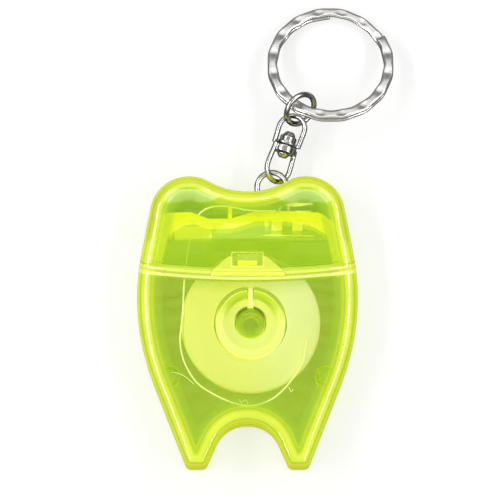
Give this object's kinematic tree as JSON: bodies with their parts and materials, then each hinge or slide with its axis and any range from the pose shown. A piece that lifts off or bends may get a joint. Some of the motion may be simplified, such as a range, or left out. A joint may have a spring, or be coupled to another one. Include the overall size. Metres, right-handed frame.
{
  "type": "dental floss keychain",
  "caption": "Tooth-shaped flip-top floss dispenser in translucent plastic, with an inner spool and steel cutter, on a swivel link and split key ring.",
  "frame": {"origin": "on the flat back face, on the floss spool's axis", "axes": "+Z out of the crowned front, +Y towards the lid and the chain, +X to the right seen from the front"},
  "size_m": [0.0514, 0.0936, 0.0134],
  "materials": {
    "lime_plastic": "clear fluorescent lime plastic, polished",
    "spool_plastic": "pale translucent moulded plastic",
    "floss": "waxed floss filament, tinted by the case",
    "steel": "thin bent strip",
    "nickel": "bright nickel plate"
  },
  "bodies": {
    "case": {"rear_shell": "lime_plastic", "front_shell": "lime_plastic", "neck_insert": "lime_plastic", "cutter": "steel", "floss_lead": "floss"},
    "lid": {"lid": "lime_plastic"},
    "spool": {"spool": "spool_plastic", "floss_roll": "floss"},
    "lower_ring": {"lower_jump_ring": "nickel"},
    "swivel_lower": {"swivel_lower_loop": "nickel"},
    "swivel_upper": {"swivel_upper_loop": "nickel", "swivel_rivet": "nickel"},
    "upper_ring": {"upper_jump_ring": "nickel"},
    "key_ring": {"split_ring": "nickel"}
  },
  "joints": [
    {"name": "lid_hinge", "type": "hinge", "parent": "case", "child": "lid", "pos_m": [0, 0.0156, 0.0009], "axis": [-1, 0, 0], "range_deg": [0, 105]},
    {"name": "spool_spin", "type": "hinge", "parent": "case", "child": "spool", "pos_m": [0.0006, -0.0003, 0.0016], "axis": [0, 0, 1], "continuous": true},
    {"name": "ring_swing", "type": "hinge", "parent": "lid", "child": "lower_ring", "pos_m": [0.00485, 0.02416, 0.00715], "axis": [1, 0, 0], "range_deg": [-15, 20]},
    {"name": "swivel_swing", "type": "hinge", "parent": "lower_ring", "child": "swivel_lower", "pos_m": [0.0058, 0.0299, 0.00715], "axis": [-0.9472, 0.3206, 0], "range_deg": [-15, 35]},
    {"name": "swivel_spin", "type": "hinge", "parent": "swivel_lower", "child": "swivel_upper", "pos_m": [0.00764, 0.03535, 0.00687], "axis": [0.3204, 0.9466, -0.0349], "continuous": true},
    {"name": "upper_ring_swing", "type": "hinge", "parent": "swivel_upper", "child": "upper_ring", "pos_m": [0.00974, 0.04155, 0.00665], "axis": [0.9178, -0.3011, 0.2587], "range_deg": [-45, 60]},
    {"name": "key_ring_swing", "type": "hinge", "parent": "upper_ring", "child": "key_ring", "pos_m": [0.01067, 0.04282, 0.00839], "axis": [-0.8572, 0.487, -0.1677], "range_deg": [-80, 60]}
  ]
}
